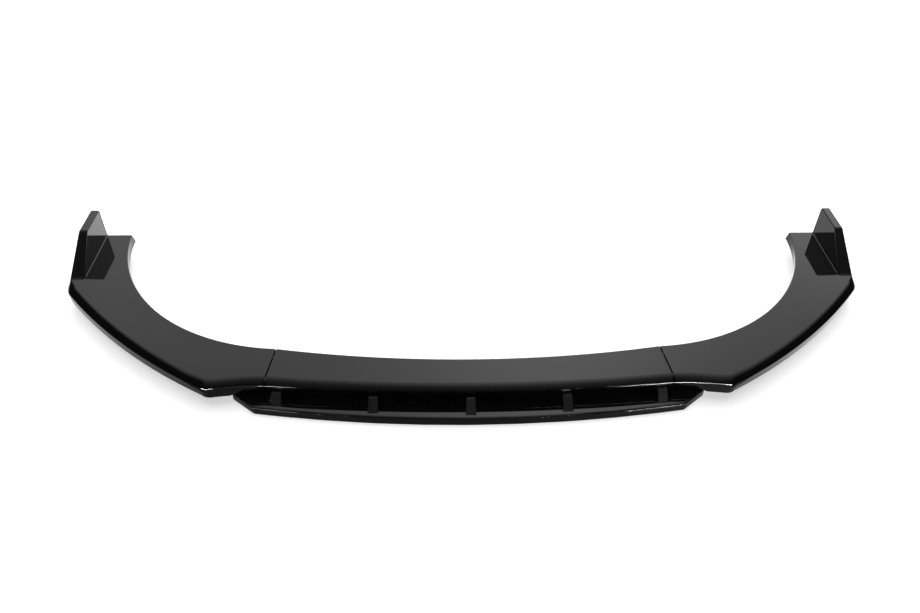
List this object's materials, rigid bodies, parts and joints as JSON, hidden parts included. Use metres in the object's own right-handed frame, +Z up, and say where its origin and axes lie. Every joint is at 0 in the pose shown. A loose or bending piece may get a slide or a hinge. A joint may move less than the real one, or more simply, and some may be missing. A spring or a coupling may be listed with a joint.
{
  "type": "front splitter lip",
  "caption": "Gloss-black bolt-on front bumper splitter: rolled centre lip, curved side wings with upright winglets, and a lower splitter held off on raked struts.",
  "frame": {"origin": "middle of the centre lip's flat top, which seats under the bumper", "axes": "+X across the car to the right of a person facing it, +Y towards the rear of the car, +Z up"},
  "size_m": [1.752, 0.5519, 0.126],
  "materials": {
    "gloss_black": "high-gloss black moulded ABS",
    "zinc_steel": "bright zinc plate"
  },
  "bodies": {
    "root": {"centre_lip": "gloss_black", "left_wing": "gloss_black", "right_wing": "gloss_black", "lower_splitter": "gloss_black", "seam_screws": "zinc_steel", "seam_washers": "zinc_steel", "strut_screws": "zinc_steel", "strut_washers": "zinc_steel"}
  },
  "joints": []
}
